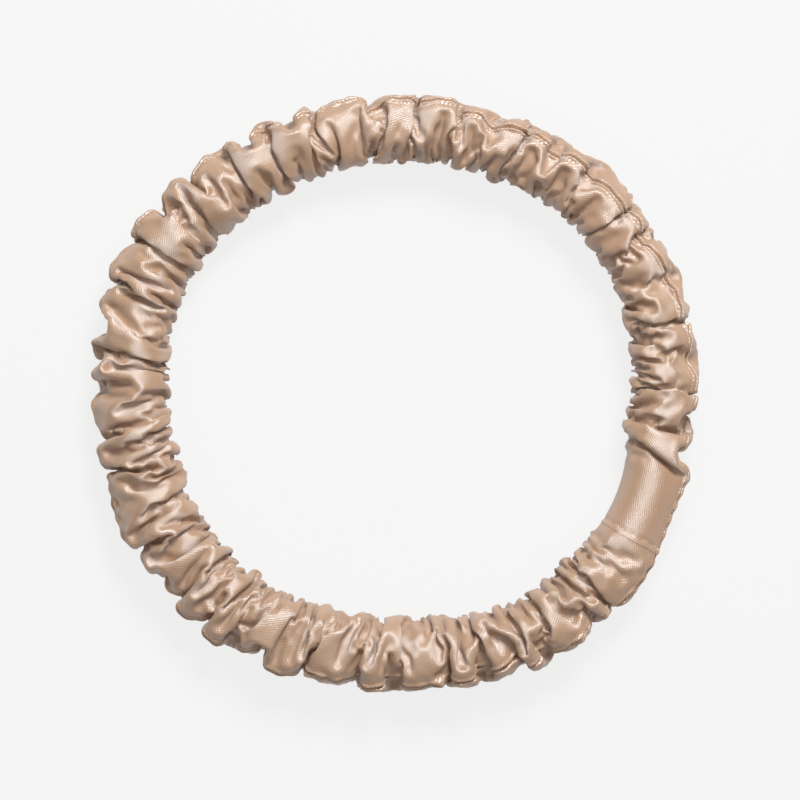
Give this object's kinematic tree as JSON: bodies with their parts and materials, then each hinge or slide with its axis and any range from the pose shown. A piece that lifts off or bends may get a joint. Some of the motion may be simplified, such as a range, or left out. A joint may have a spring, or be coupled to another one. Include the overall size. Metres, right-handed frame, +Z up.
{
  "type": "hair scrunchie",
  "caption": "Skinny gathered satin scrunchie: a ring-shaped fabric tube over an elastic loop, which stretches to hold hair.",
  "frame": {"origin": "centre of the ring, on the surface that it lies on", "axes": "+Z up, square to the ring, and +X through the half that holds the join of the cover"},
  "size_m": [0.085, 0.085, 0.0099],
  "materials": {
    "satin": "champagne satin weave, glossy face",
    "thread": "polyester sewing thread, matched to the satin",
    "elastic": "braided elastic, off-white"
  },
  "bodies": {
    "sewn_half": {"cover_sewn_half": "satin", "seam_needle_thread_sewn_half": "thread", "seam_bobbin_thread_sewn_half": "thread", "closing_needle_thread": "thread", "closing_bobbin_thread": "thread", "elastic_band": "elastic", "elastic_join_thread": "thread"},
    "free_half": {"cover_free_half": "satin", "seam_needle_thread_free_half": "thread", "seam_bobbin_thread_free_half": "thread"}
  },
  "joints": [
    {"name": "stretch", "type": "slide", "parent": "sewn_half", "child": "free_half", "axis": [-1, 0, 0], "range_m": [0, 0.09], "stiffness_N_per_m": 60, "deforming": ["elastic_band"]}
  ]
}
